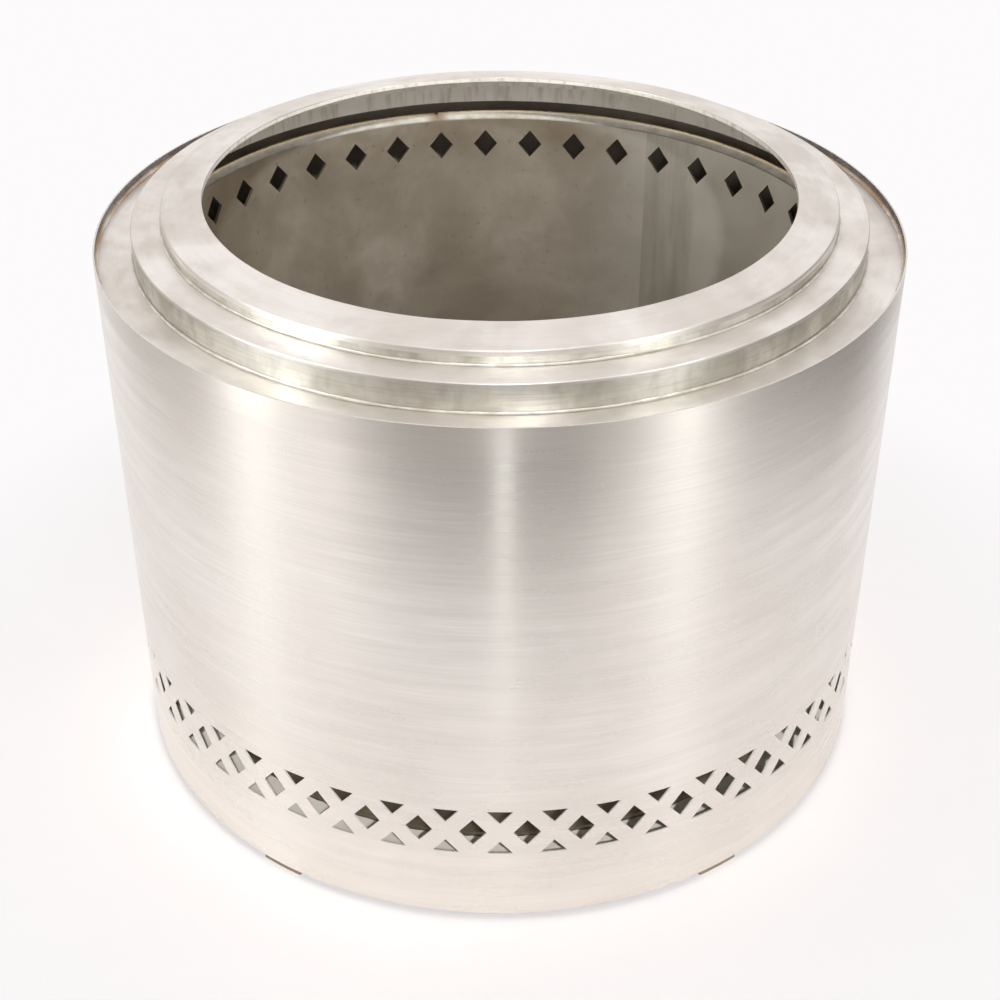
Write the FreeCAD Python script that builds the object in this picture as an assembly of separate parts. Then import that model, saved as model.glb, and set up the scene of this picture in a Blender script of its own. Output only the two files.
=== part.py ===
import FreeCAD, Part
import math
import os

# A smokeless fire pit: two rolled stainless walls, one inside the other, closed at the
# bottom by a floor plate and at the top by a stepped collar. Air enters the lattice low in
# the outer wall, warms as it rises between the walls and feeds the fire through the ring
# of diamonds near the top of the inner wall. A loose fire grate stands on the floor plate.
# The origin is on the centre line at floor level, +Z is up and the front faces -Y.

# Outer wall, a sheet rolled to a cylinder
outer_radius = 350.0
wall_sheet = 1.5
wall_height = 490.5
floor_gap = 6.0

# Lattice of air openings round the foot of the outer wall, as wide as their shares of a pitch
lattice_count = 48
lattice_centre_height = 95.4
lattice_diamond_share = 0.52
lattice_diamond_height = 28.6
lattice_triangle_share = 0.504
lattice_triangle_height = 13.9
lattice_band_height = 47.7

# Stepped collar: flat rings welded round the feet of two rolled bands
rim_stand = 7.7
collar_sheet = 3.0
shoulder_width = 33.0
lower_band_rise = 25.2
step_width = 26.0
upper_band_rise = 12.5
corner_bevel = 1.6
crown_bevel = 1.8

# Top ring, a dished plate with the mouth cut in it
top_ring_width = 35.6
top_plate = 5.0
top_ring_dish = 6.0

# Burn barrel, the inner wall, with its flared lip
barrel_setback = 39.0
barrel_sheet = 3.0
lip_drop = 20.5
lip_rise = 6.8
lip_flare = 8.2
lip_notch_width = 4.5
lip_notch_depth = 2.4
lip_notch_azimuth = 102.0

# Diamond air openings near the top of the barrel, as wide as their share of a pitch
diamond_count = 42
diamond_width_share = 0.527
diamond_height = 29.0
diamond_drop = 46.8
diamond_azimuth = 92.8

# Floor plate, with a ring of draught holes under the grate
floor_height = 56.0
floor_plate = 3.0
draught_hole_radius = 9.0
draught_hole_count = 8
draught_ring_radius = 120.0

# Feet, flat bar rolled to the inside of the outer wall
foot_width = 40.0
foot_bar = 6.0
foot_azimuths = (304.0, 236.0, 56.0, 124.0)

# Fire grate, square bars on two runners, which lifts out through the mouth
grate_clearance = 15.4
grate_bar = 10.0
grate_bar_count = 12
runner_bar = 10.0
runner_height = 20.0
runner_place_share = 0.45
leg_height = 60.0
leg_inset = 24.0

# How far a cutting tool runs past the face it cuts
overrun = 2.0

# Radii and heights that follow from the sizes above
wall_inner_radius = outer_radius - wall_sheet
lower_band_radius = outer_radius - shoulder_width
upper_band_radius = lower_band_radius - step_width
mouth_radius = upper_band_radius - top_ring_width
barrel_outer_radius = outer_radius - barrel_setback
barrel_inner_radius = barrel_outer_radius - barrel_sheet
wall_top = floor_gap + wall_height
shoulder_top = wall_top - rim_stand
shoulder_bottom = shoulder_top - collar_sheet
step_top = shoulder_top + lower_band_rise
step_bottom = step_top - collar_sheet
crown_edge_top = step_top + upper_band_rise
mouth_top = crown_edge_top + top_ring_dish
dish_slope = top_ring_dish / top_ring_width
floor_top = floor_gap + floor_height
floor_bottom = floor_top - floor_plate
lip_top = shoulder_top - lip_drop + lip_rise
lip_foot = lip_top - lip_rise
diamond_centre_height = shoulder_top - diamond_drop
grate_radius = mouth_radius - grate_clearance
runner_place = runner_place_share * grate_radius
runner_bottom = floor_top + leg_height
bar_bottom = runner_bottom + runner_height

origin = FreeCAD.Vector(0, 0, 0)
up = FreeCAD.Vector(0, 0, 1)


def spin(corners, turn=360):
    """Revolve a radial section, given as (radius, height) corners, about the centre line."""
    points = [FreeCAD.Vector(radius, 0, height) for radius, height in corners]
    face = Part.Face(Part.makePolygon(points + points[:1]))
    return face.revolve(origin, up, turn)


def tube(inner, outer, bottom, top, turn=360):
    """Return a plain round wall between two heights."""
    return spin([(inner, bottom), (outer, bottom), (outer, top), (inner, top)], turn)


def turned(shape, azimuth):
    """Return a copy of a shape turned about the centre line."""
    copy = shape.copy()
    copy.rotate(origin, up, azimuth)
    return copy


def punch(outline, inner, outer):
    """Return a tool that cuts an outline of (across, height) points out along +X."""
    points = [FreeCAD.Vector(inner - overrun, across, height) for across, height in outline]
    face = Part.Face(Part.makePolygon(points + points[:1]))
    return face.extrude(FreeCAD.Vector(outer - inner + 2 * overrun, 0, 0))


def diamond_outline(width, height, centre):
    """Return the four corners of an upright diamond."""
    return [(width / 2, centre), (0, centre + height / 2),
            (-width / 2, centre), (0, centre - height / 2)]


def triangle_outline(width, height, flat, point):
    """Return a triangle with a level side at one height and its tip toward another."""
    tip = flat + math.copysign(height, point - flat)
    return [(-width / 2, flat), (width / 2, flat), (0, tip)]


def outer_wall():
    """Rolled sheet with crossed strips left between diamonds and half diamonds."""
    wall = tube(wall_inner_radius, outer_radius, floor_gap, wall_top)
    pitch = 360 / lattice_count
    pitch_length = math.tau * outer_radius / lattice_count
    diamond_width = lattice_diamond_share * pitch_length
    triangle_width = lattice_triangle_share * pitch_length
    centre = floor_gap + lattice_centre_height
    upper_flat = centre + lattice_band_height / 2
    lower_flat = centre - lattice_band_height / 2
    diamond = punch(
        diamond_outline(diamond_width, lattice_diamond_height, centre),
        wall_inner_radius, outer_radius)
    upper_triangle = punch(
        triangle_outline(triangle_width, lattice_triangle_height, upper_flat, centre),
        wall_inner_radius, outer_radius)
    lower_triangle = punch(
        triangle_outline(triangle_width, lattice_triangle_height, lower_flat, centre),
        wall_inner_radius, outer_radius)
    tools = []
    for step in range(lattice_count):
        azimuth = 270 + step * pitch
        tools.append(turned(upper_triangle, azimuth))
        tools.append(turned(lower_triangle, azimuth))
        tools.append(turned(diamond, azimuth + pitch / 2))
    return wall.cut(tools)


def shoulder_ring():
    """Flat ring welded between the outer wall and the foot of the collar."""
    return tube(lower_band_radius, wall_inner_radius, shoulder_bottom, shoulder_top)


def lower_collar_band():
    """Rolled band that carries the step."""
    inner = lower_band_radius - collar_sheet
    return tube(inner, lower_band_radius, shoulder_bottom, step_bottom)


def step_ring():
    """Flat ring on the lower band, its outer corner ground off."""
    return spin([(upper_band_radius, step_bottom),
                 (lower_band_radius, step_bottom),
                 (lower_band_radius, step_top - corner_bevel),
                 (lower_band_radius - corner_bevel, step_top),
                 (upper_band_radius, step_top)])


def plate_underside(radius):
    """Return the height of the top ring's underside at a radius."""
    return crown_edge_top - top_plate + (upper_band_radius - radius) * dish_slope


def upper_collar_band():
    """Rolled band whose top is bevelled to seat the dished ring."""
    inner = upper_band_radius - collar_sheet
    return spin([(inner, step_bottom),
                 (upper_band_radius, step_bottom),
                 (upper_band_radius, plate_underside(upper_band_radius)),
                 (inner, plate_underside(inner))])


def top_ring():
    """Dished plate with the mouth cut in it, its outer corner ground off."""
    return spin([(mouth_radius, plate_underside(mouth_radius)),
                 (upper_band_radius, plate_underside(upper_band_radius)),
                 (upper_band_radius, crown_edge_top - crown_bevel),
                 (upper_band_radius - crown_bevel, crown_edge_top + crown_bevel * dish_slope),
                 (mouth_radius, mouth_top)])


def barrel_lip():
    """Ring rolled to a cone, with a nick where its two ends are welded."""
    slant = math.hypot(lip_flare, lip_rise)
    out = barrel_sheet * lip_rise / slant
    down = barrel_sheet * lip_flare / slant
    tip_radius = barrel_inner_radius + lip_flare
    lip = spin([(barrel_inner_radius, lip_foot),
                (barrel_inner_radius + out, lip_foot - down),
                (tip_radius + out, lip_top - down),
                (tip_radius, lip_top)])
    nick = punch([(-lip_notch_width / 2, lip_top + overrun),
                  (lip_notch_width / 2, lip_top + overrun),
                  (0, lip_top - lip_notch_depth)], barrel_inner_radius, tip_radius + out)
    return lip.cut(turned(nick, lip_notch_azimuth))


def burn_barrel(lip):
    """Rolled inner wall with a ring of diamonds, its top edge ground to the lip."""
    wall = tube(barrel_inner_radius, barrel_outer_radius, floor_top, lip_foot)
    diamond_width = diamond_width_share * math.tau * barrel_outer_radius / diamond_count
    diamond = punch(diamond_outline(diamond_width, diamond_height, diamond_centre_height),
                    barrel_inner_radius, barrel_outer_radius)
    pitch = 360 / diamond_count
    tools = [turned(diamond, diamond_azimuth + step * pitch) for step in range(diamond_count)]
    return wall.cut(tools + [lip])


def base_plate():
    """Floor of the pit, with a ring of draught holes."""
    disc = Part.makeCylinder(wall_inner_radius, floor_plate, FreeCAD.Vector(0, 0, floor_bottom))
    hole = Part.makeCylinder(draught_hole_radius, floor_plate + 2 * overrun,
                             FreeCAD.Vector(draught_ring_radius, 0, floor_bottom - overrun))
    pitch = 360 / draught_hole_count
    return disc.cut([turned(hole, step * pitch) for step in range(draught_hole_count)])


def foot(azimuth):
    """Short length of flat bar that holds the floor plate and the wall off the ground."""
    turn = math.degrees(foot_width / wall_inner_radius)
    bar = tube(wall_inner_radius - foot_bar, wall_inner_radius, 0, floor_bottom, turn)
    return turned(bar, azimuth - turn / 2)


def half_chord(place):
    """Return half the length that fits across the grate at a distance from its centre."""
    return math.sqrt(grate_radius ** 2 - place ** 2)


def runner_half_length():
    """Return half the length of a runner, which just stays inside the grate's round."""
    return half_chord(runner_place + runner_bar / 2)


def grate_runner(side):
    """Flat bar on edge that carries the grate bars."""
    half = runner_half_length()
    corner = FreeCAD.Vector(side * runner_place - runner_bar / 2, -half, runner_bottom)
    return Part.makeBox(runner_bar, 2 * half, runner_height, corner)


def fire_bar(number):
    """Square bar laid across the two runners, cut to the round of the grate."""
    span = 2 * runner_half_length() - grate_bar
    place = number * span / (grate_bar_count - 1) - span / 2
    half = half_chord(abs(place) + grate_bar / 2)
    corner = FreeCAD.Vector(-half, place - grate_bar / 2, bar_bottom)
    return Part.makeBox(2 * half, grate_bar, grate_bar, corner)


def grate_leg(side, end):
    """Square leg welded under one end of a runner."""
    centre = end * (runner_half_length() - leg_inset)
    corner = FreeCAD.Vector(side * runner_place - runner_bar / 2, centre - runner_bar / 2,
                            floor_top)
    return Part.makeBox(runner_bar, runner_bar, leg_height, corner)


def all_parts():
    """Return every piece under its own name."""
    lip = barrel_lip()
    parts = {
        "outer_wall": outer_wall(),
        "shoulder_ring": shoulder_ring(),
        "lower_collar_band": lower_collar_band(),
        "step_ring": step_ring(),
        "upper_collar_band": upper_collar_band(),
        "top_ring": top_ring(),
        "barrel_lip": lip,
        "burn_barrel": burn_barrel(lip),
        "base_plate": base_plate(),
        "grate_runner_left": grate_runner(-1),
        "grate_runner_right": grate_runner(1),
        "grate_leg_front_left": grate_leg(-1, -1),
        "grate_leg_front_right": grate_leg(1, -1),
        "grate_leg_back_left": grate_leg(-1, 1),
        "grate_leg_back_right": grate_leg(1, 1),
    }
    for number, azimuth in enumerate(foot_azimuths, start=1):
        parts[f"foot_{number}"] = foot(azimuth)
    for number in range(grate_bar_count):
        parts[f"fire_bar_{number + 1:02d}"] = fire_bar(number)
    return parts


os.makedirs("parts", exist_ok=True)
for name, shape in all_parts().items():
    shape.exportStep(f"parts/{name}.step")
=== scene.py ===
import math

import bmesh
import bpy
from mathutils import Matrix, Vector, noise


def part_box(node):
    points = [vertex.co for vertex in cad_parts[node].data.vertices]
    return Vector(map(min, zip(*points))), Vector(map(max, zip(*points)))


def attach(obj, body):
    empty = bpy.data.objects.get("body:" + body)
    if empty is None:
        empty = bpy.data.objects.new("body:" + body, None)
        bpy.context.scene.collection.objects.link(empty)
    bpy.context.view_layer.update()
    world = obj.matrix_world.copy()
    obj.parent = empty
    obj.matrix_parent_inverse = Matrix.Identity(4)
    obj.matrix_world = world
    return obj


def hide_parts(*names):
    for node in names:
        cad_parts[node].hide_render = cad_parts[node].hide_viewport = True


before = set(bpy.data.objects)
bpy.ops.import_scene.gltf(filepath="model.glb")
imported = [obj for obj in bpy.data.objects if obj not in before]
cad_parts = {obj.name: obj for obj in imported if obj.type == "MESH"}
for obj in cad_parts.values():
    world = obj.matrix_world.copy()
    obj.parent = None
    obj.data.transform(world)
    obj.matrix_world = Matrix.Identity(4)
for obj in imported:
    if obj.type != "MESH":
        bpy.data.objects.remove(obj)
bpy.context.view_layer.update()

# Outer wall. A 1.5 mm stainless sheet rolled to a cylinder and welded up, brushed round its
# girth with a belt. Crossed strips are left between the diamonds and half diamonds cut low
# in it, where the air for the fire comes in.
wall_low, wall_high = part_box("outer_wall")
wall_radius = wall_high.x
wall_sheet = 0.0015
wall_bottom = wall_low.z
wall_top = wall_high.z
lattice_count = 48
lattice_centre = wall_bottom + 0.0954
lattice_diamond = (0.0238, 0.0286)
lattice_triangle = (0.0231, 0.0139)
lattice_band = 0.0477
front_azimuth = math.radians(270)
strip_width = 0.004
seam_width = 0.00002
crease_angle = math.radians(28)
tiny = 1e-9


def in_scene(name, data):
    """Put a mesh, a light or a camera in the scene under a name."""
    made = bpy.data.objects.new(name, data)
    bpy.context.scene.collection.objects.link(made)
    return made


def across(outline, place):
    """Return the lowest and highest height of a convex outline at a place along the arc."""
    heights = []
    for (start, low), (end, high) in zip(outline, outline[1:] + outline[:1]):
        if min(start, end) - tiny <= place <= max(start, end) + tiny:
            if abs(end - start) < tiny:
                heights += [low, high]
            else:
                heights.append(low + (high - low) * (place - start) / (end - start))
    return min(heights), max(heights)


def diamond(place, height, wide, tall):
    """Corners of a diamond round a place along the arc and a height."""
    return [(place - wide / 2, height), (place, height - tall / 2),
            (place + wide / 2, height), (place, height + tall / 2)]


def half_diamond(place, height, wide, tall):
    """Corners of half a diamond with its long side at a height, upside down if tall is below 0."""
    return [(place - wide / 2, height), (place + wide / 2, height), (place, height + tall)]


def pierced_panel(name, radius, sheet, count, bottom, top, top_bevel, outlines, start):
    """One of the equal panels of a rolled wall, with its cut-outs, as upright strips."""
    length = 2 * math.pi * radius / count
    edges = {0.0, length}
    for outline in outlines:
        edges |= {place for place, _ in outline if 0 < place < length}
    marks = sorted(edges)
    places = []
    for left, right in zip(marks, marks[1:]):
        parts = max(1, math.ceil((right - left) / strip_width))
        places += [left + (right - left) * part / parts for part in range(parts)]
    places.append(length)

    gaps = []
    stops = [{bottom, top} for _ in places]
    for index, (left, right) in enumerate(zip(places, places[1:])):
        middle = (left + right) / 2
        inside = []
        for outline in outlines:
            if min(p for p, _ in outline) < middle < max(p for p, _ in outline):
                inside.append((across(outline, left), across(outline, right)))
        inside.sort()
        gaps.append(inside)
        for at_left, at_right in inside:
            stops[index] |= set(at_left)
            stops[index + 1] |= set(at_right)

    points = []
    known = {}

    def point(index, height, outside):
        key = (index, round(height, 7), outside)
        if key not in known:
            reach = radius if outside else radius - sheet
            turn = start + places[index] / radius
            drop = top_bevel if outside and height == top else 0
            known[key] = len(points)
            points.append((reach * math.cos(turn), reach * math.sin(turn), height - drop))
        return known[key]

    faces = []
    marks_of = []
    inner = []
    cut = []

    def face(corners):
        loop = []
        for corner in corners:
            if corner not in loop:
                loop.append(corner)
        if len(loop) > 2:
            faces.append([point(*corner) for corner in loop])
            marks_of.append([(places[index], height) for index, height, _ in loop])
            sides = {outside for _, _, outside in loop}
            inner.append(sides == {False})
            cut.append(len(sides) == 2)

    for index, inside in enumerate(gaps):
        here, there = index, index + 1
        lows = [(bottom, bottom)] + [(at_left[1], at_right[1]) for at_left, at_right in inside]
        highs = [(at_left[0], at_right[0]) for at_left, at_right in inside] + [(top, top)]
        for (low_left, low_right), (high_left, high_right) in zip(lows, highs):
            left = [h for h in sorted(stops[here]) if low_left - tiny <= h <= high_left + tiny]
            right = [h for h in sorted(stops[there]) if low_right - tiny <= h <= high_right + tiny]
            ring = [(here, left[0])] + [(there, h) for h in right]
            ring += [(here, h) for h in reversed(left[1:])]
            face([(i, h, True) for i, h in ring])
            face([(i, h, False) for i, h in reversed(ring)])
            face([(there, low_right, True), (here, low_left, True),
                  (here, low_left, False), (there, low_right, False)])
            face([(here, high_left, True), (there, high_right, True),
                  (there, high_right, False), (here, high_left, False)])

    mesh = bpy.data.meshes.new(name)
    mesh.from_pydata(points, [], faces)
    layer = mesh.uv_layers.new(name="brushing")
    for polygon, marked in zip(mesh.polygons, marks_of):
        for loop, mark in zip(polygon.loop_indices, marked):
            layer.data[loop].uv = mark
    for label, flags in (("inner face", inner), ("cut face", cut)):
        mesh.attributes.new(label, "BOOLEAN", "FACE").data.foreach_set("value", flags)
    return in_scene(name, mesh)


def hex_colour(code):
    """Turn a six-figure sRGB code into a linear colour."""
    shares = [int(code[place:place + 2], 16) / 255 for place in (1, 3, 5)]
    linear = [s / 12.92 if s <= 0.04045 else ((s + 0.055) / 1.055) ** 2.4 for s in shares]
    return (*linear, 1.0)


def node(tree, kind, settings, inputs):
    """Add a node to a tree, with its settings and what feeds its inputs."""
    made = tree.nodes.new(kind)
    for key, value in settings.items():
        setattr(made, key, value)
    for key, value in inputs.items():
        if isinstance(value, bpy.types.NodeSocket):
            tree.links.new(value, made.inputs[key])
        else:
            coded = isinstance(value, str) and value.startswith("#")
            made.inputs[key].default_value = hex_colour(value) if coded else value
    return made


def copies_round_the_axis():
    """Tree that sets copies of a panel round the centre line and closes the seams."""
    tree = bpy.data.node_groups.new("copies round the axis", "GeometryNodeTree")
    for label, kind in (("Panel", "Geometry"), ("Copies", "Int"), ("Outer finish", "Material"),
                        ("Inner finish", "Material"), ("Cut finish", "Material")):
        tree.interface.new_socket(name=label, in_out="INPUT", socket_type="NodeSocket" + kind)
    tree.interface.new_socket(name="Wall", in_out="OUTPUT", socket_type="NodeSocketGeometry")
    given = node(tree, "NodeGroupInput", {}, {}).outputs
    spots = node(tree, "GeometryNodePoints", {}, {"Count": given["Copies"]})
    number = node(tree, "GeometryNodeInputIndex", {}, {})
    pitch = node(tree, "ShaderNodeMath", {"operation": "DIVIDE"},
                 {0: 2 * math.pi, 1: given["Copies"]})
    turn = node(tree, "ShaderNodeMath", {"operation": "MULTIPLY"},
                {0: number.outputs[0], 1: pitch.outputs[0]})
    turned = node(tree, "ShaderNodeCombineXYZ", {}, {"Z": turn.outputs[0]})
    placed = node(tree, "GeometryNodeInstanceOnPoints", {},
                  {"Points": spots.outputs[0], "Instance": given["Panel"],
                   "Rotation": turned.outputs[0]})
    real = node(tree, "GeometryNodeRealizeInstances", {}, {"Geometry": placed.outputs[0]})
    closed = node(tree, "GeometryNodeMergeByDistance", {},
                  {"Geometry": real.outputs[0], "Distance": seam_width})
    finished = node(tree, "GeometryNodeSetMaterial", {},
                    {"Geometry": closed.outputs[0], "Material": given["Outer finish"]})
    for label, finish in (("inner face", "Inner finish"), ("cut face", "Cut finish")):
        chosen = node(tree, "GeometryNodeInputNamedAttribute", {"data_type": "BOOLEAN"},
                      {"Name": label})
        finished = node(tree, "GeometryNodeSetMaterial", {},
                        {"Geometry": finished.outputs[0], "Selection": chosen.outputs[0],
                         "Material": given[finish]})
    node(tree, "NodeGroupOutput", {}, {"Wall": finished.outputs[0]})
    return tree


def grown(seed_object, tree, values, name):
    """Run a tree on an object, keep what it makes as a plain mesh and drop the object."""
    modifier = seed_object.modifiers.new("made by rule", "NODES")
    modifier.node_group = tree
    sockets = {item.name: item.identifier for item in tree.interface.items_tree
               if item.in_out == "INPUT"}
    for label, value in values.items():
        modifier[sockets[label]] = value
    evaluated = seed_object.evaluated_get(bpy.context.evaluated_depsgraph_get())
    mesh = bpy.data.meshes.new_from_object(evaluated)
    mesh.name = name
    seed_mesh = seed_object.data
    bpy.data.objects.remove(seed_object)
    bpy.data.meshes.remove(seed_mesh)
    return in_scene(name, mesh)


def finish_piece(piece, body, slot, *nodes):
    """Smooth the rounds, keep the corners, tie the piece to its body and hide its nodes. The slot
    is not used.
    """
    piece.data.shade_smooth()
    piece.data.set_sharp_from_angle(angle=crease_angle)
    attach(piece, body)
    if nodes:
        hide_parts(*nodes)
    return piece


def bare_material(name):
    """Start a material and return it, its emptied tree and the place on the piece."""
    material = bpy.data.materials.new(name)
    material.use_nodes = True
    tree = material.node_tree
    tree.nodes.clear()
    return material, tree, node(tree, "ShaderNodeTexCoord", {}, {}).outputs["Object"]


def brush_lines(tree, position, along, apart, detail):
    """Noise drawn out round the centre line, as a belt or pad leaves it on a round part."""
    parts = node(tree, "ShaderNodeSeparateXYZ", {}, {0: position}).outputs
    flat = node(tree, "ShaderNodeCombineXYZ", {}, {"X": parts["X"], "Y": parts["Y"]})
    reach = node(tree, "ShaderNodeVectorMath", {"operation": "LENGTH"}, {0: flat.outputs[0]})
    rise = node(tree, "ShaderNodeMath", {"operation": "ADD"},
                {0: reach.outputs["Value"], 1: parts["Z"]})
    place = node(tree, "ShaderNodeCombineXYZ", {},
                 {"X": parts["X"], "Y": parts["Y"], "Z": rise.outputs[0]})
    drawn = node(tree, "ShaderNodeVectorMath", {"operation": "MULTIPLY"},
                 {0: place.outputs[0], 1: (1 / along, 1 / along, 1 / apart)})
    return node(tree, "ShaderNodeTexNoise", {},
                {"Vector": drawn.outputs[0], "Scale": 1.0, "Detail": detail,
                 "Roughness": 0.6}).outputs["Fac"]


def blotches(tree, position, size, detail):
    """Soft uneven patches of a given size, from handling and from the mill."""
    return node(tree, "ShaderNodeTexNoise", {},
                {"Vector": position, "Scale": 1 / size, "Detail": detail,
                 "Roughness": 0.55, "Distortion": 0.4}).outputs["Fac"]


def joined(tree, operation, terms):
    """Join values by one operation. A value given as (value, low, high, at low, at high) is
    first taken from the middle of a pattern's range to a range of share or of roughness."""
    whole = None
    for term in terms:
        if isinstance(term, tuple):
            names = ("Value", "From Min", "From Max", "To Min", "To Max")
            term = node(tree, "ShaderNodeMapRange", {}, dict(zip(names, term))).outputs[0]
        if whole is None:
            whole = term
        else:
            whole = node(tree, "ShaderNodeMath", {"operation": operation},
                         {0: whole, 1: term}).outputs[0]
    return whole


def amount(tree, *terms):
    """Add up what several patterns give."""
    return joined(tree, "ADD", terms)


def share(tree, *terms):
    """Take the part that several patterns leave together."""
    return joined(tree, "MULTIPLY", terms)


def layered(tree, colour, *layers):
    """Lay colours one over another on a first one, each by its own share."""
    for part, over in layers:
        colour = node(tree, "ShaderNodeMix", {"data_type": "RGBA"},
                      {0: share(tree, part), 6: colour, 7: over}).outputs[2]
    return colour


def surfaced(material, colour, metallic, rough, brushing=0.0, relief=None):
    """Give a material its surface, drawn out along the brushing or raised by a pattern given
    as (pattern, strength, depth)."""
    tree = material.node_tree
    inputs = {"Base Color": colour, "Metallic": metallic, "Roughness": rough}
    if brushing:
        tangent = node(tree, "ShaderNodeTangent",
                       {"direction_type": "UV_MAP", "uv_map": "brushing"}, {})
        inputs |= {"Anisotropic": brushing, "Anisotropic Rotation": 0.25,
                   "Tangent": tangent.outputs[0]}
    if relief:
        raised = node(tree, "ShaderNodeBump", {},
                      dict(zip(("Height", "Strength", "Distance"), relief)))
        inputs["Normal"] = raised.outputs[0]
    shader = node(tree, "ShaderNodeBsdfPrincipled", {}, inputs)
    node(tree, "ShaderNodeOutputMaterial", {}, {"Surface": shader.outputs[0]})
    return material


def belt_brushed_steel():
    """Stainless sheet, belt brushed round its girth: upright bands of light drawn out by the
    brush lines, faint smears, and a strip of hand-ground strokes under the top edge."""
    material, tree, position = bare_material("stainless sheet, belt brushed")
    height = node(tree, "ShaderNodeSeparateXYZ", {}, {0: position}).outputs["Z"]
    lines = brush_lines(tree, position, along=0.06, apart=0.0015, detail=1.5)
    bands = brush_lines(tree, position, along=0.16, apart=0.014, detail=2.0)
    smears = blotches(tree, position, size=0.13, detail=2.0)
    strokes = brush_lines(tree, position, along=0.007, apart=0.0012, detail=3.0)
    ragged = amount(tree, height, (bands, 0.3, 0.7, -0.009, 0.009))
    stroked = share(tree, (ragged, wall_top - 0.032, wall_top - 0.012, 0.0, 1.0),
                    (strokes, 0.3, 0.7, 0.15, 0.5))
    colour = layered(tree, "#F5EFE8",
                     ((smears, 0.35, 0.65, 0.0, 1.0), "#EFE8E0"),
                     ((lines, 0.3, 0.7, 0.0, 0.25), "#DAD4CC"),
                     ((bands, 0.35, 0.65, 0.0, 0.22), "#DAD4CC"),
                     (share(tree, stroked, 0.4), "#D3CDC3"))
    rough = amount(tree, (smears, 0.3, 0.7, 0.255, 0.275), (bands, 0.3, 0.7, -0.01, 0.015),
                   share(tree, stroked, 0.12))
    return surfaced(material, colour, 1.0, rough, brushing=0.85)


def dull_mill_steel(name, pale, dark, metallic):
    """Stainless sheet as it came from the mill, on the faces that nobody polishes: dull and
    softly clouded, and blue-grey from the heat of welding at the very top."""
    material, tree, position = bare_material(name)
    height = node(tree, "ShaderNodeSeparateXYZ", {}, {0: position}).outputs["Z"]
    clouds = blotches(tree, position, size=0.07, detail=5.0)
    patches = blotches(tree, position, size=0.02, detail=4.0)
    tinted = layered(tree, "#8B888C", ((patches, 0.4, 0.6, 0.0, 1.0), "#6F6866"))
    colour = layered(tree, pale,
                     ((clouds, 0.35, 0.65, 0.0, 1.0), dark),
                     ((height, wall_top - 0.01, wall_top - 0.007, 0.0, 1.0), tinted))
    return surfaced(material, colour, metallic, share(tree, (clouds, 0.3, 0.7, 0.4, 0.5)))


def laser_cut_steel():
    """Edges of the cut-outs as the laser leaves them: pale and matt with fine ribs."""
    material, tree, position = bare_material("stainless edge, laser cut")
    ribs = blotches(tree, position, size=0.0008, detail=2.0)
    colour = layered(tree, "#F2EEE8", ((ribs, 0.35, 0.65, 0.0, 1.0), "#DDD8D0"))
    return surfaced(material, colour, 0.3, 0.5)


pale_finish = dull_mill_steel("stainless sheet, pale mill finish", "#BDB2A0", "#A3978A", 0.7)
dark_finish = dull_mill_steel("stainless sheet, dark mill finish", "#A79B88", "#897C6A", 0.8)
panel_length = 2 * math.pi * wall_radius / lattice_count
triangle_wide, triangle_tall = lattice_triangle
wall_outlines = [diamond(panel_length / 2, lattice_centre, *lattice_diamond)]
for place in (0.0, panel_length):
    wall_outlines.append(half_diamond(place, lattice_centre - lattice_band / 2,
                                      triangle_wide, triangle_tall))
    wall_outlines.append(half_diamond(place, lattice_centre + lattice_band / 2,
                                      triangle_wide, -triangle_tall))
wall_panel = pierced_panel("wall_panel", wall_radius, wall_sheet, lattice_count, wall_bottom,
                           wall_top, 0.0, wall_outlines, front_azimuth)
round_copies = copies_round_the_axis()
outer_sheet = grown(wall_panel, round_copies,
                    {"Copies": lattice_count, "Outer finish": belt_brushed_steel(),
                     "Inner finish": pale_finish, "Cut finish": laser_cut_steel()},
                    "outer_sheet")
finish_piece(outer_sheet, "pit", "outer_wall_steel", "outer_wall")

# Burn barrel. The inner wall, 3 mm sheet left as it came from the mill, with a ring of
# diamonds for the hot air and one upright seam ground off in a broad dull band. It stands
# on the floor plate and its top edge is ground down to seat the lip.
barrel_low, barrel_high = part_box("burn_barrel")
barrel_outer = barrel_high.x
barrel_sheet = 0.003
barrel_inner = barrel_outer - barrel_sheet
barrel_diamond_count = 42
barrel_diamond = (0.0245, 0.029)
barrel_diamond_centre = 0.442
barrel_diamond_azimuth = math.radians(92.8)
barrel_seam_azimuth = math.radians(56)
barrel_seam_width = 0.055


def upright_marks(tree, position, wide, tall, detail):
    """Noise of marks of a given width and height, such as rolls and runs of water leave."""
    drawn = node(tree, "ShaderNodeVectorMath", {"operation": "MULTIPLY"},
                 {0: position, 1: (1 / wide, 1 / wide, 1 / tall)})
    return node(tree, "ShaderNodeTexNoise", {},
                {"Vector": drawn.outputs[0], "Scale": 1.0, "Detail": detail}).outputs["Fac"]


def place_on(tree, position):
    """Height of a place on a piece, and its azimuth round the centre line."""
    parts = node(tree, "ShaderNodeSeparateXYZ", {}, {0: position}).outputs
    return parts["Z"], joined(tree, "ARCTAN2", (parts["Y"], parts["X"]))


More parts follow.
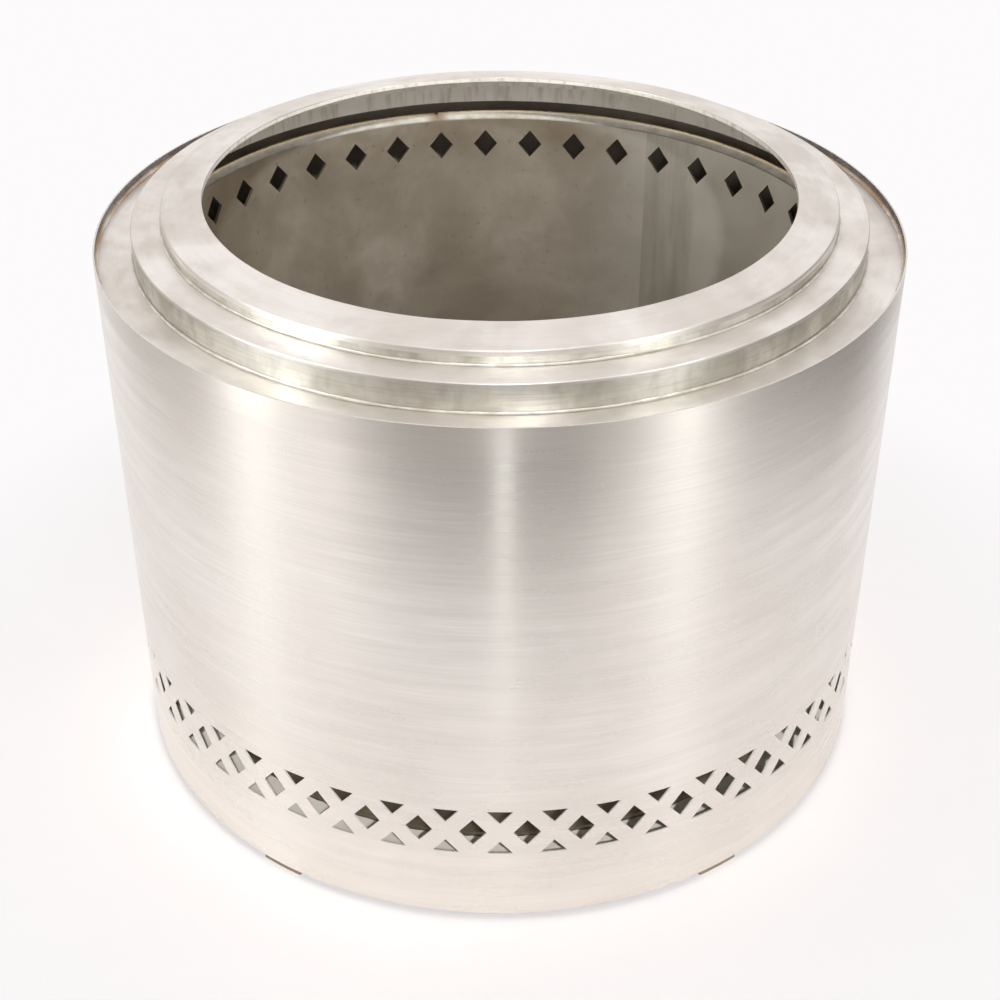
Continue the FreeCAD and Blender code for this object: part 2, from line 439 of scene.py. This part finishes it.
def mill_finish_steel():
    """Stainless sheet with its dull mill surface: grey-brown and mottled, darker low down,
    with stains under the lip and a ground band over the seam, crisp on its left edge. The
    right-hand side of the inside is laid near white, a painted light for light falling there."""
    material, tree, position = bare_material("stainless sheet, mill finish, painted light on the right")
    height, azimuth = place_on(tree, position)
    mottle = blotches(tree, position, size=0.035, detail=6.0)
    clouds = blotches(tree, position, size=0.16, detail=4.0)
    specks = upright_marks(tree, position, wide=0.007, tall=0.007, detail=2.0)
    runs = upright_marks(tree, position, wide=0.012, tall=0.11, detail=4.0)
    off = amount(tree, azimuth, -barrel_seam_azimuth)
    half = barrel_seam_width / 2 / barrel_inner
    ragged = amount(tree, off, (mottle, 0.3, 0.7, -0.006, 0.006))
    seam = share(tree, (off, half - 0.002, half + 0.002, 1.0, 0.0),
                 (ragged, -half - 0.02, -half + 0.02, 0.0, 1.0))
    stain = share(tree, (height, 0.425, 0.46, 0.0, 1.0), (clouds, 0.5, 0.7, 0.0, 0.7))
    colour = layered(tree, "#DDD3C3",
                     ((clouds, 0.38, 0.62, 0.0, 1.0), "#B0A492"),
                     ((mottle, 0.42, 0.72, 0.0, 0.6), "#AA9E8B"),
                     ((specks, 0.66, 0.72, 0.0, 0.35), "#8E8474"),
                     # Painted light: near white over the inside where the azimuth is below 30
                     # degrees, fading out by 80, for light falling on the right-hand side.
                     ((azimuth, math.radians(30), math.radians(80), 0.95, 0.0), "#FEFBF3"),
                     (share(tree, seam, (runs, 0.35, 0.65, 0.475, 0.95)), "#B4AC9D"),
                     (stain, "#A58B63"),
                     ((height, 0.1, 0.34, 0.4, 0.0), "#A39886"))
    rough = amount(tree, (mottle, 0.3, 0.7, 0.38, 0.5), share(tree, seam, 0.06))
    return surfaced(material, colour, 0.72, rough, brushing=0.4)


lip_low, lip_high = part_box("barrel_lip")
lip_foot = 0.4683
barrel_panel_length = 2 * math.pi * barrel_outer / barrel_diamond_count
barrel_outlines = [diamond(barrel_panel_length / 2, barrel_diamond_centre, *barrel_diamond)]
barrel_panel = pierced_panel("barrel_panel", barrel_outer, barrel_sheet, barrel_diamond_count,
                             barrel_low.z, lip_foot, lip_foot - lip_low.z, barrel_outlines,
                             barrel_diamond_azimuth - math.pi / barrel_diamond_count)
barrel_sheet_piece = grown(barrel_panel, round_copies,
                           {"Copies": barrel_diamond_count, "Outer finish": dark_finish,
                            "Inner finish": mill_finish_steel(), "Cut finish": dark_finish},
                           "barrel_sheet")
finish_piece(barrel_sheet_piece, "pit", "burn_chamber_steel", "burn_barrel")

# Barrel lip. A narrow ring rolled to a cone and welded on the barrel's top edge, then
# ground bright. Its two ends meet in a butt weld with a small nick left in the edge, and the
# weld's heat has left straw and brown tints along it.
lip_flare = 0.0082
lip_rise = 0.0068
lip_curl = 0.0013
lip_curl_steps = 6
lip_outer_round = 0.0004
lip_inner_round = 0.0003
lip_round_steps = 3
lip_nick_azimuth = math.radians(102)
lip_nick_width = 0.0045
lip_nick_depth = 0.0024
ring_columns = 720


def rounded(corners, steps):
    """Return a section's points, with an arc for each corner of (radius, height, rounding)."""
    points = []
    count = len(corners)
    for index, (radius, height, rounding) in enumerate(corners):
        here = Vector((radius, height))
        if rounding == 0:
            points.append(here)
            continue
        last = Vector(corners[index - 1][:2])
        following = Vector(corners[(index + 1) % count][:2])
        back = (last - here).normalized()
        ahead = (following - here).normalized()
        half = back.angle(ahead) / 2
        reach = rounding / math.tan(half)
        centre = here + (back + ahead).normalized() * rounding / math.sin(half)
        begin = (here + back * reach - centre).normalized()
        end = (here + ahead * reach - centre).normalized()
        for step in range(steps + 1):
            points.append(centre + begin.slerp(end, step / steps) * rounding)
    return points


def turned_mesh(name, section, columns, extra, shape_point):
    """Turn a closed section round the centre line in equal columns and extra ones at given
    azimuths, with each point moved by a rule."""
    azimuths = sorted([2 * math.pi * step / columns for step in range(columns)] + extra)
    rows = len(section)
    points = []
    for azimuth in azimuths:
        for place in section:
            radius, height = shape_point(azimuth, *place)
            points.append((radius * math.cos(azimuth), radius * math.sin(azimuth), height))
    faces = []
    marks = []
    travel = [0.0]
    for (radius, height), (next_radius, next_height) in zip(section, section[1:] + section[:1]):
        travel.append(travel[-1] + math.hypot(next_radius - radius, next_height - height))
    for column, here in enumerate(azimuths):
        following = (column + 1) % len(azimuths)
        there = azimuths[following] + (2 * math.pi if following == 0 else 0)
        for row in range(rows):
            above = (row + 1) % rows
            faces.append((column * rows + row, following * rows + row,
                          following * rows + above, column * rows + above))
            reach = section[row][0]
            marks.append(((here * reach, travel[row]), (there * reach, travel[row]),
                          (there * reach, travel[row + 1]), (here * reach, travel[row + 1])))
    mesh = bpy.data.meshes.new(name)
    mesh.from_pydata(points, [], faces)
    layer = mesh.uv_layers.new(name="brushing")
    layer.data.foreach_set("uv", [number for face in marks for mark in face for number in mark])
    return in_scene(name, mesh)


def lip_nick(azimuth, radius, height):
    """Lower the lip's edge in a small notch where its ends are welded."""
    off = abs((azimuth - lip_nick_azimuth + math.pi) % (2 * math.pi) - math.pi)
    depth = 1 - off * lip_high.x / (lip_nick_width / 2)
    if depth > 0 and radius > barrel_inner + lip_flare / 2:
        height -= lip_nick_depth * depth
    return radius, height


def heat_tinted_steel():
    """Stainless ring, ground by hand and tinted by welding: bright and wavy on its face,
    straw along its edge, and brown beside its butt weld."""
    material, tree, position = bare_material("stainless ring, hand ground, heat tinted")
    height, azimuth = place_on(tree, position)
    waves = brush_lines(tree, position, along=0.018, apart=0.02, detail=4.0)
    stain = blotches(tree, position, size=0.03, detail=4.0)
    edge = share(tree, (height, lip_high.z - 0.0028, lip_high.z - 0.0014, 0.0, 1.0))
    off = node(tree, "ShaderNodeMath", {"operation": "ABSOLUTE"},
               {0: amount(tree, azimuth, -lip_nick_azimuth)}).outputs[0]
    colour = layered(tree, "#FDF9F1",
                     ((waves, 0.35, 0.65, 0.0, 1.0), "#DAD2C3"),
                     ((height, lip_foot, lip_foot + 0.0008, 0.6, 0.0), "#75664F"),
                     (share(tree, edge, (stain, 0.35, 0.6, 0.5, 0.95)), "#FFE8B4"),
                     ((off, 0.012, 0.045, 0.6, 0.0), "#9A744A"))
    rough = amount(tree, (waves, 0.3, 0.7, 0.35, 0.5), share(tree, edge, -0.15))
    metallic = share(tree, (edge, 0.0, 1.0, 0.2, 0.9))
    return surfaced(material, colour, metallic, rough, relief=(waves, 0.25, 0.0006))


lip_slant = math.hypot(lip_flare, lip_rise)
lip_out = barrel_sheet * lip_rise / lip_slant
lip_down = barrel_sheet * lip_flare / lip_slant
lip_side = []
for step in range(1, lip_curl_steps):
    along = step / lip_curl_steps
    sag = lip_curl * 4 * along * (1 - along) / lip_slant
    lip_side.append((lip_flare * along + lip_rise * sag, lip_rise * along - lip_flare * sag))
lip_section = rounded(
    [(barrel_inner + lip_out, lip_foot - lip_down, 0)]
    + [(barrel_inner + lip_out + out, lip_foot - lip_down + up, 0) for out, up in lip_side]
    + [(barrel_inner + lip_flare + lip_out, lip_foot + lip_rise - lip_down, lip_outer_round),
       (barrel_inner + lip_flare, lip_foot + lip_rise, lip_inner_round)]
    + [(barrel_inner + out, lip_foot + up, 0) for out, up in reversed(lip_side)]
    + [(barrel_inner, lip_foot, 0)], lip_round_steps)
nick_half = lip_nick_width / 2 / lip_high.x
lip_ring = turned_mesh("lip_ring", lip_section, ring_columns,
                       [lip_nick_azimuth + turn for turn in (-nick_half, 0.0, nick_half)],
                       lip_nick)
lip_ring.data.materials.append(heat_tinted_steel())
finish_piece(lip_ring, "pit", "burn_chamber_steel", "barrel_lip")

# Floor plate and feet. The 3 mm plate is a disc welded inside the outer wall, with draught
# holes under the fire, and four short bars rolled to the wall carry it off the ground. Both
# keep the shapes they were built with: the plate is pickled, the bars have their mill skin,
# made darker as painted shade so that they read as the shadow in the gap under the wall.


def pickled_plate():
    """Stainless plate as pickled and rolled: pale matt grey without a clear reflection, so
    the light that falls through the lattice shows on it, with faint water marks."""
    material, tree, position = bare_material("stainless plate, pickled")
    marks = blotches(tree, position, size=0.06, detail=5.0)
    grain = blotches(tree, position, size=0.004, detail=3.0)
    colour = layered(tree, "#FCF5EA", ((marks, 0.35, 0.7, 0.0, 1.0), "#F3EADC"))
    rough = share(tree, (grain, 0.3, 0.7, 0.5, 0.6))
    return surfaced(material, colour, 0.0, rough, relief=(grain, 0.2, 0.0003))


plate_finish = pickled_plate()
for name in ("base_plate", "foot_1", "foot_2", "foot_3", "foot_4"):
    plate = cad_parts[name]
    plate.data.materials.clear()
    # The feet take the darker mill finish as painted shade, for the shadow in the gap under the
    # wall.
    plate.data.materials.append(plate_finish if name == "base_plate" else dark_finish)

# Stepped collar. Two rolled bands and three flat or dished rings, welded at every corner,
# ground flush and brushed round: the shoulder ring, the step and the top ring with the
# mouth. Outer corners are ground to small rounds.
shoulder_low, shoulder_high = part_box("shoulder_ring")
lower_low, lower_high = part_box("lower_collar_band")
step_low, step_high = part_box("step_ring")
upper_low, upper_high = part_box("upper_collar_band")
top_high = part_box("top_ring")[1]
collar_sheet = 0.003
mouth_radius = 0.2554
mouth_edge = 0.005
dish = 0.006
step_round = 0.0014
crown_round = 0.002
mouth_top_round = 0.0009
mouth_foot_round = 0.0005
collar_round_steps = 6
sheet_hollow = 0.0004


def ring_brushed_steel():
    """Stainless rings, ground at the welds and polished round by hand: pale, with pearly
    smears that run round and only a trace of the rings of scratches."""
    material, tree, position = bare_material("stainless rings, hand polished")
    rings = brush_lines(tree, position, along=0.12, apart=0.003, detail=2.0)
    pearls = brush_lines(tree, position, along=0.035, apart=0.014, detail=3.0)
    smears = blotches(tree, position, size=0.08, detail=3.0)
    colour = layered(tree, "#F6F2EE",
                     ((smears, 0.38, 0.62, 0.0, 1.0), "#E2DCD6"),
                     ((rings, 0.35, 0.65, 0.0, 0.15), "#D6D0C8"),
                     ((pearls, 0.5, 0.68, 0.0, 0.24), "#CAC4BB"))
    rough = amount(tree, (smears, 0.3, 0.7, 0.36, 0.46), (pearls, 0.35, 0.65, -0.04, 0.05))
    return surfaced(material, colour, 1.0, rough, brushing=0.6)


def band_brushed_steel():
    """Outer side of the collar's bands, dressed by hand where the belt can't reach: grey with
    a trace of green, soft smears and fine lines that run round."""
    material, tree, position = bare_material("stainless band, hand dressed")
    lines = brush_lines(tree, position, along=0.04, apart=0.0022, detail=2.0)
    dabs = upright_marks(tree, position, wide=0.012, tall=0.03, detail=3.0)
    clouds = blotches(tree, position, size=0.05, detail=4.0)
    colour = layered(tree, "#F6F4EB",
                     ((clouds, 0.38, 0.62, 0.0, 1.0), "#CFCCC0"),
                     ((lines, 0.45, 0.68, 0.0, 0.35), "#B8B4A7"),
                     ((dabs, 0.5, 0.7, 0.0, 0.4), "#ABA89B"))
    rough = amount(tree, (clouds, 0.3, 0.7, 0.34, 0.46), (lines, 0.3, 0.7, -0.03, 0.03))
    return surfaced(material, colour, 1.0, rough, brushing=0.7)


def unpolished_band_steel():
    """Inner side of the collar's bands, as rolled: pale brown-grey with upright marks that
    the rolls pressed in, and darker clouds from the heat of welding."""
    material, tree, position = bare_material("stainless band, as rolled")
    marks = upright_marks(tree, position, wide=0.006, tall=0.04, detail=3.0)
    clouds = blotches(tree, position, size=0.06, detail=4.0)
    colour = layered(tree, "#FFFBF2",
                     ((clouds, 0.35, 0.65, 0.0, 1.0), "#F3ECDF"),
                     ((marks, 0.5, 0.75, 0.0, 0.55), "#B5A997"))
    return surfaced(material, colour, 0.0, 0.45)


ring_finish = ring_brushed_steel()
riser_finish = band_brushed_steel()
band_finish = unpolished_band_steel()


def hand_worked(azimuth, radius, height):
    """Draw a band or ring in by the slight hollows that rolling and welding leave in it."""
    ray = Vector((math.cos(azimuth), math.sin(azimuth), height * 8))
    hollow = sheet_hollow * (0.5 + 0.5 * noise.noise(ray * 7))
    dip = sheet_hollow * (0.5 + 0.5 * noise.noise(ray * 5 + Vector((9, 0, radius * 30))))
    return radius - hollow, height - dip


def collar_piece(name, corners, node_name, finish):
    """Turn one band or ring of the collar from its section, unpolished on its last side."""
    section = rounded(corners, collar_round_steps)
    piece = turned_mesh(name, section, ring_columns, [], hand_worked)
    piece.data.materials.append(finish)
    piece.data.materials.append(band_finish)
    for polygon in piece.data.polygons:
        polygon.material_index = int(polygon.index % len(section) == len(section) - 1)
    return finish_piece(piece, "pit", "collar_steel", node_name)


collar_piece("shoulder_flat_ring", [
    (lower_high.x, shoulder_low.z, 0), (shoulder_high.x, shoulder_low.z, 0),
    (shoulder_high.x, shoulder_high.z, 0), (lower_high.x, shoulder_high.z, 0)],
    "shoulder_ring", ring_finish)
collar_piece("lower_riser_band", [
    (lower_high.x - collar_sheet, lower_low.z, 0), (lower_high.x, lower_low.z, 0),
    (lower_high.x, lower_high.z, 0), (lower_high.x - collar_sheet, lower_high.z, 0)],
    "lower_collar_band", riser_finish)
collar_piece("step_flat_ring", [
    (upper_high.x, step_low.z, 0), (step_high.x, step_low.z, 0),
    (step_high.x, step_high.z, step_round), (upper_high.x, step_high.z, 0)],
    "step_ring", ring_finish)
crown_edge = top_high.z - dish
slope = dish / (top_high.x - mouth_radius)
collar_piece("upper_riser_band", [
    (upper_high.x - collar_sheet, upper_low.z, 0), (upper_high.x, upper_low.z, 0),
    (upper_high.x, crown_edge - mouth_edge, 0),
    (upper_high.x - collar_sheet, crown_edge - mouth_edge + collar_sheet * slope, 0)],
    "upper_collar_band", riser_finish)
collar_piece("dished_top_ring", [
    (mouth_radius, top_high.z - mouth_edge, mouth_foot_round),
    (top_high.x, crown_edge - mouth_edge, 0),
    (top_high.x, crown_edge, crown_round),
    (mouth_radius, top_high.z, mouth_top_round)],
    "top_ring", ring_finish)

# Dressed welds. A fillet runs round each inner corner of the collar and inside the outer
# wall's edge, and round the barrel's foot, dressed so that it wanders and thickens a little.
weld_columns = 900
weld_face = [(0.0, 0.0), (1.0, 0.0), (0.62, 0.14), (0.34, 0.34), (0.14, 0.62), (0.0, 1.0)]


def dressed_weld_steel(name, low_tint, high_tint):
    """Weld metal dressed by hand: as bright as the sheet beside it, uneven over a few
    centimetres, and tinted by its own heat in the places that the pad missed."""
    material, tree, position = bare_material(name)
    facets = blotches(tree, position, size=0.014, detail=3.0)
    stain = blotches(tree, position, size=0.05, detail=3.0)
    colour = layered(tree, "#E9E5DE",
                     ((facets, 0.4, 0.62, 0.0, 1.0), "#D2CCC1"),
                     ((stain, 0.42, 0.62, low_tint, high_tint), "#A98662"))
    return surfaced(material, colour, 1.0, share(tree, (facets, 0.3, 0.7, 0.32, 0.44)))


corner_finish = dressed_weld_steel("stainless weld, dressed", 0.0, 0.15)
edge_finish = dressed_weld_steel("stainless weld, dressed, heat tinted", 0.35, 0.85)


def dressed_weld(name, radius, height, leg, seed, side, finish, slot):
    """Fillet round a corner: a hollow-faced strip whose two legs vary along the way."""

    def leg_at(azimuth, row):
        ray = Vector((math.cos(azimuth), math.sin(azimuth), row))
        slow = noise.noise(ray * 7 + Vector((seed, 0, 0)))
        quick = noise.noise(ray * 45 + Vector((0, seed, 0)))
        return 1 + 0.3 * slow + 0.3 * quick

    def shape(azimuth, at_radius, at_height):
        return (radius + (at_radius - radius) * leg_at(azimuth, 0.0),
                height + (at_height - height) * leg_at(azimuth, 5.0))

    corners = [(radius + side * out * leg, height + rise * leg) for out, rise in weld_face]
    if side < 0:
        corners.reverse()
    weld = turned_mesh(name, corners, weld_columns, [], shape)
    weld.data.materials.append(finish)
    return finish_piece(weld, "pit", slot)


for name, corner, seat, leg, seed, side, finish in (
        ("shoulder_foot_weld", lower_high.x, shoulder_high.z, 0.0018, 11, 1, corner_finish),
        ("step_foot_weld", upper_high.x, step_high.z, 0.0016, 23, 1, corner_finish),
        ("wall_edge_weld", shoulder_high.x, shoulder_high.z, 0.0024, 37, -1, edge_finish)):
    dressed_weld(name, corner, seat, leg, seed, side, finish, "collar_steel")
dressed_weld("barrel_foot_weld", barrel_outer, barrel_low.z, 0.003, 53, 1,
             dark_finish, "burn_chamber_steel")

# Fire grate. Twelve square bars laid across two flat bars on edge, with four square legs,
# all hot-rolled steel welded together. It stands loose on the floor plate and lifts out
# through the mouth.
bar_names = [f"fire_bar_{number:02d}" for number in range(1, 13)]
runner_names = ["grate_runner_left", "grate_runner_right"]
leg_names = ["grate_leg_front_left", "grate_leg_front_right",
             "grate_leg_back_left", "grate_leg_back_right"]
bar_round = 0.0012
runner_round = 0.001
leg_round = 0.001
bar_round_steps = 3


def hot_rolled_steel():
    """Hot-rolled bar with its mill scale, fired many times: near-black blue-grey, pitted, and
    rust-brown where the scale has come off."""
    material, tree, position = bare_material("hot-rolled bar, scaled and fired")
    scale = blotches(tree, position, size=0.012, detail=6.0)
    rust = blotches(tree, position, size=0.04, detail=5.0)
    pits = upright_marks(tree, position, wide=0.0015, tall=0.0015, detail=3.0)
    colour = layered(tree, "#45444A",
                     ((scale, 0.35, 0.7, 0.0, 1.0), "#2E2C2E"),
                     ((rust, 0.55, 0.72, 0.0, 0.6), "#6A4A35"))
    rough = share(tree, (scale, 0.3, 0.7, 0.5, 0.72))
    return surfaced(material, colour, 0.6, rough, relief=(pits, 0.35, 0.0006))


grate_finish = hot_rolled_steel()


def rolled_bars(name, node_names, edge):
    """Square-cut bars in the places of their nodes, with the rounded edges of rolled stock."""
    shape = bmesh.new()
    for node_name in node_names:
        low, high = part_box(node_name)
        made = bmesh.ops.create_cube(shape, size=1.0)
        bmesh.ops.scale(shape, vec=high - low, verts=made["verts"])
        bmesh.ops.translate(shape, vec=(high + low) / 2, verts=made["verts"])
    bmesh.ops.bevel(shape, geom=shape.edges[:], offset=edge, segments=bar_round_steps,
                    profile=0.5, affect="EDGES")
    mesh = bpy.data.meshes.new(name)
    shape.to_mesh(mesh)
    shape.free()
    mesh.materials.append(grate_finish)
    return finish_piece(in_scene(name, mesh), "grate", "grate_steel", *node_names)


rolled_bars("fire_bars", bar_names, bar_round)
rolled_bars("grate_runners", runner_names, runner_round)
rolled_bars("grate_legs", leg_names, leg_round)

# Studio. White paper lies under the pit, in a room that is pale at the back and the sides and
# dark behind the camera. Soft boxes draw the wall's upright lights. The key light reaches in
# at the lattice, and the fill light, broad and weak, brightens the collar's front corners.
paper_front = -0.9
paper_left = -1.03
paper_right = 0.97
paper_back = 6.0
paper_fade = (wall_radius + 0.02, wall_radius + 0.4)
pit_middle = Vector((0, 0, 0.3))
overhead_from = (0.18, 0.42)
low_light_levels = (0.0, 0.5, 2.0, 0.19)
background_white = "#FDFBFC"
room_levels = ((-180, 0.95), (-140, 0.7), (-110, 0.55), (-92, 0.5), (-78, 0.64), (-46, 1.0),
               (-36, 0.45), (-26, 0.22), (0, 0.16), (20, 0.18), (32, 0.42), (46, 1.0),
               (58, 0.55), (70, 0.2), (110, 0.18), (180, 0.95))
paper_mesh = bpy.data.meshes.new("studio_floor")
paper_mesh.from_pydata([(paper_left, paper_front, 0), (paper_right, paper_front, 0),
                        (paper_right, paper_back, 0), (paper_left, paper_back, 0)], [],
                       [(0, 1, 2, 3)])
paper = in_scene("studio_floor", paper_mesh)


def matt_paper():
    """White background paper, matt and even: it shows the pit's shadow round its foot and
    runs out into plain white farther off."""
    material, tree, position = bare_material("background paper, matt white")
    uneven = blotches(tree, position, size=0.5, detail=4.0)
    colour = layered(tree, "#FBF8F8", ((uneven, 0.35, 0.65, 0.0, 1.0), "#F8F5F5"))
    lit = node(tree, "ShaderNodeBsdfDiffuse", {}, {"Color": colour})
    white = node(tree, "ShaderNodeEmission", {}, {"Color": background_white, "Strength": 1.0})
    reach = node(tree, "ShaderNodeVectorMath", {"operation": "LENGTH"}, {0: position})
    rays = node(tree, "ShaderNodeLightPath", {}, {}).outputs
    seen = joined(tree, "MAXIMUM", (rays["Is Camera Ray"], rays["Is Glossy Ray"]))
    far = share(tree, seen, (reach.outputs["Value"], *paper_fade, 0.0, 1.0))
    shader = node(tree, "ShaderNodeMixShader", {}, {0: far, 1: lit.outputs[0],
                                                    2: white.outputs[0]})
    node(tree, "ShaderNodeOutputMaterial", {}, {"Surface": shader.outputs[0]})
    return material


paper_mesh.materials.append(matt_paper())

world = bpy.data.worlds.new("soft studio")
bpy.context.scene.world = world
world.use_nodes = True
room = world.node_tree
room.nodes.clear()
way = node(room, "ShaderNodeTexCoord", {}, {}).outputs["Generated"]
ways = node(room, "ShaderNodeSeparateXYZ", {}, {0: way}).outputs
round_turn = joined(room, "ARCTAN2", (ways["X"], share(room, ways["Y"], -1.0)))
levels = node(room, "ShaderNodeValToRGB", {},
              {0: share(room, (round_turn, -math.pi, math.pi, 0.0, 1.0))})
ramp = levels.color_ramp
ramp.interpolation = "EASE"
while len(ramp.elements) < len(room_levels):
    ramp.elements.new(0.5)
for stop, (degrees, level) in zip(ramp.elements, room_levels):
    stop.position = (degrees + 180) / 360
    stop.color = (level, level * (0.93 + 0.055 * level), level * (0.86 + 0.11 * level), 1.0)
walls = layered(room, levels.outputs[0], ((ways["Z"], *overhead_from, 0.0, 1.0), "#FDF9F7"))
lighting, mirrored, shown = (
    node(room, "ShaderNodeBackground", {}, {"Color": colour, "Strength": strength}).outputs[0]
    for colour, strength in (("#FDFCFD", share(room, (ways["Z"], *low_light_levels))),
                             (walls, 1.0), (background_white, 1.0)))
rays = node(room, "ShaderNodeLightPath", {}, {}).outputs
around = lighting
for ray, other in (("Is Glossy Ray", mirrored), ("Is Camera Ray", shown)):
    around = node(room, "ShaderNodeMixShader", {}, {0: rays[ray], 1: around,
                                                    2: other}).outputs[0]
node(room, "ShaderNodeOutputWorld", {}, {"Surface": around})


def soft_box(name, place, wide, tall, power):
    """A flat lamp that faces the pit and shows only as a reflection in its metal."""
    light = bpy.data.lights.new(name, "AREA")
    light.shape = "RECTANGLE"
    light.size = wide
    light.size_y = tall
    light.energy = power
    light.color = hex_colour("#F8FEFF")[:3]
    lamp = in_scene(name, light)
    lamp.location = place
    lamp.rotation_euler = (pit_middle - Vector(place)).to_track_quat("-Z", "Y").to_euler()
    lamp.visible_camera = False
    lamp.visible_diffuse = False


def far_light(name, azimuth, rise, wide, power):
    """A lamp so far off that it lights the paper evenly. Its azimuth from the front, its
    height and its width are in degrees."""
    light = bpy.data.lights.new(name, "SUN")
    light.energy = power
    light.angle = math.radians(wide)
    side = math.radians(azimuth)
    height = math.radians(rise)
    heading = Vector((-math.sin(side) * math.cos(height), math.cos(side) * math.cos(height),
                      -math.sin(height)))
    lamp = in_scene(name, light)
    lamp.rotation_euler = heading.to_track_quat("-Z", "Y").to_euler()
    return lamp


soft_box("lamp_front", (0.0, -4.2, 1.4), 0.24, 0.9, 12.0)
soft_box("lamp_low", (0.02, -1.25, 0.05), 0.07, 0.2, 0.12)
soft_box("lamp_left", (-2.37, -1.2, 1.0), 0.6, 1.5, 28.0)
soft_box("lamp_right", (1.95, -1.88, 1.0), 0.28, 1.5, 13.0)
far_light("fill_light", 4, 37, 30, 0.4)
key_light = far_light("key_light", 9, 43, 2.5, 2.25)
key_light.visible_glossy = False

# Camera, where the photograph's was: in front and above, looking down at 34 degrees with a
# 63 mm lens, as the ellipses of the rims and of the foot give it.
view = bpy.data.cameras.new("photo_camera")
view.sensor_width = 36.0
view.lens = 62.51
view.clip_end = 100.0
camera = in_scene("photo_camera", view)
camera.location = (0.0, -1.39888, 1.13731)
camera.rotation_euler = (math.radians(56.22), 0.0, 0.0)
bpy.context.scene.camera = camera

bpy.context.scene.view_settings.view_transform = "Standard"
